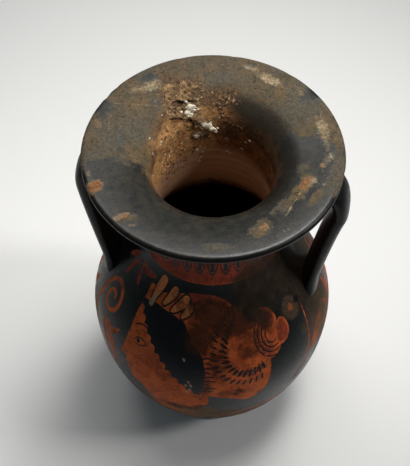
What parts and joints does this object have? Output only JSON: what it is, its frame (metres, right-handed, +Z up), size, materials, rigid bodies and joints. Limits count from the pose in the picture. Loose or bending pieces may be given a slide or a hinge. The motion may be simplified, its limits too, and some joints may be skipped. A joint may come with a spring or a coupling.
{
  "type": "red-figure pelike",
  "caption": "Hollow clay storage jar with a low round belly on a ring foot, a wide flat lip and two strap handles, painted in orange clay and black gloss.",
  "frame": {"origin": "middle of the underside of the foot ring, on the surface that the jar stands on", "axes": "+Z up along the jar's axis, the two handles along +X and -X, the side with the main picture facing -Y"},
  "size_m": [0.164, 0.1594, 0.25],
  "materials": {
    "black_gloss_clay": "worn black gloss slip over reserved orange clay, stained with soil and lime"
  },
  "bodies": {
    "root": {"pelike": "black_gloss_clay"}
  },
  "joints": []
}
